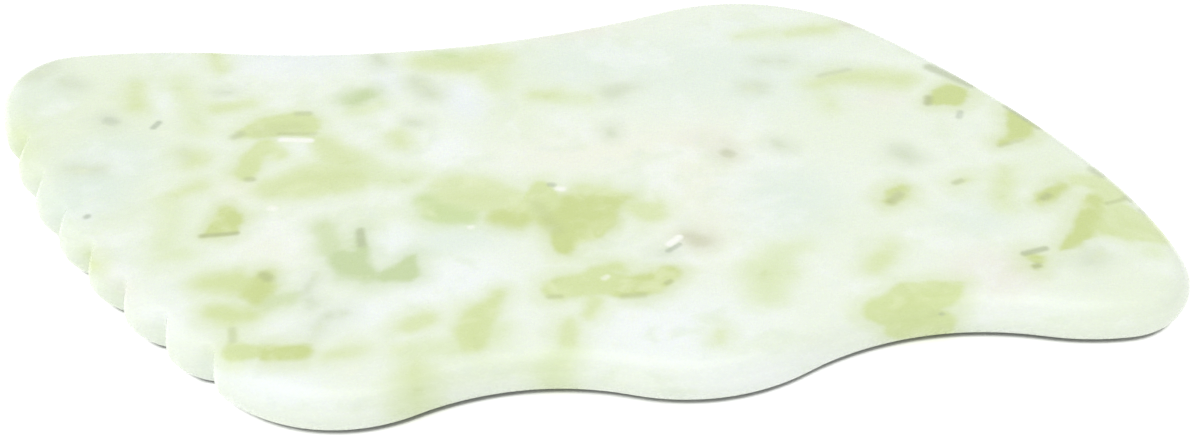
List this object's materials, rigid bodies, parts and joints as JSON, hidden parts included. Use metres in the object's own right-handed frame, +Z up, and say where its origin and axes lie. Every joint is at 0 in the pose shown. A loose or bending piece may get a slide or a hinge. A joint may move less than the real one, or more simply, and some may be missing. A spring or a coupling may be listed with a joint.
{
  "type": "gua sha scraper",
  "caption": "Flat palm-sized massage scraper of polished stone with a lobed outline, rounded edges all round and a fine comb of teeth at one end.",
  "frame": {"origin": "middle of the plate's box, on the face that it lies on", "axes": "+X from the comb end to the horn end, +Y from the lobed front edge to the hollow back edge, +Z up out of the upper face"},
  "size_m": [0.11, 0.0617, 0.005],
  "materials": {
    "stone": "polished pale green-white jade-like stone with olive-green, yellow and grey mineral patches"
  },
  "bodies": {
    "root": {"scraper_board": "stone"}
  },
  "joints": []
}
